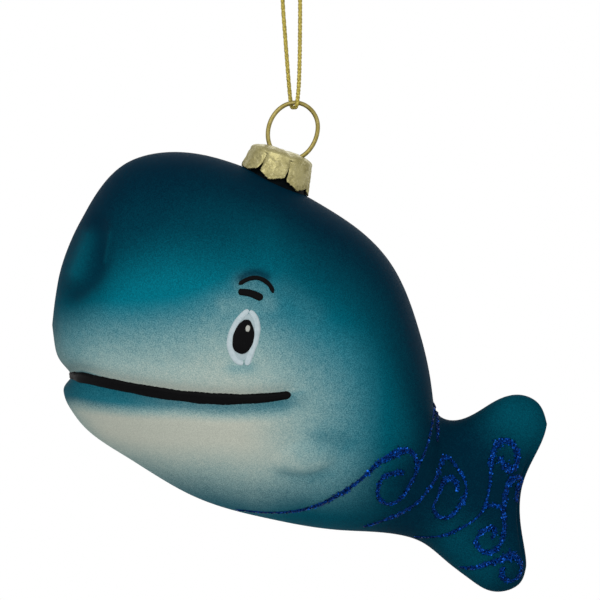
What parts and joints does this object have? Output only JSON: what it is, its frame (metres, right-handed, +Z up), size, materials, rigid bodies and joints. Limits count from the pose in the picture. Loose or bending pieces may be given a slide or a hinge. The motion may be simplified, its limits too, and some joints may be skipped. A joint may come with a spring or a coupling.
{
  "type": "hanging whale ornament",
  "caption": "Blown-glass whale ornament with lacquered shell, painted face, glitter scrolls, crown cap, wire hanger ring and cord loop",
  "frame": {"origin": "the hook's place at the top of the cord loop, midway between its two strands", "axes": "X from the whale's head to its tail, Y from the whale's left side to its right side, Z up"},
  "size_m": [0.0939, 0.0594, 0.1305],
  "materials": {
    "lacquered_glass": "matte sprayed lacquer, teal above and cream below",
    "black_enamel": "brushed black relief enamel",
    "white_enamel": "brushed white enamel",
    "cream_enamel": "cream enamel dot",
    "blue_glitter": "royal-blue glitter grains in glue",
    "gold_sheet": "pressed gold-coloured sheet",
    "gold_wire": "gold-coloured spring wire",
    "gold_cord": "braided metallic yarn"
  },
  "bodies": {
    "cord": {"hanging_cord": "gold_cord", "cord_knot": "gold_cord"},
    "hanger": {"hanger_wire": "gold_wire"},
    "cap": {"crown_cap": "gold_sheet"},
    "glass": {"glass_body": "lacquered_glass", "mouth_line": "black_enamel", "eye_white_left": "white_enamel", "eye_pupil_left": "black_enamel", "eye_glint_left": "cream_enamel", "brow_left": "black_enamel", "glitter_left": "blue_glitter", "eye_white_right": "white_enamel", "eye_pupil_right": "black_enamel", "eye_glint_right": "cream_enamel", "brow_right": "black_enamel", "glitter_right": "blue_glitter"}
  },
  "joints": [
    {"name": "ring_slip", "type": "hinge", "parent": "cord", "child": "hanger", "pos_m": [0, 0, -0.03023], "axis": [0, 1, 0], "range_deg": [-75, 75]},
    {"name": "cap_tilt", "type": "hinge", "parent": "hanger", "child": "cap", "pos_m": [-0.00153, 0, -0.03495], "axis": [0.9511, 0, -0.309], "range_deg": [-8, 8]},
    {"name": "glass_pull", "type": "slide", "parent": "cap", "child": "glass", "axis": [-0.309, 0, -0.9511], "range_m": [0, 0.016]}
  ]
}
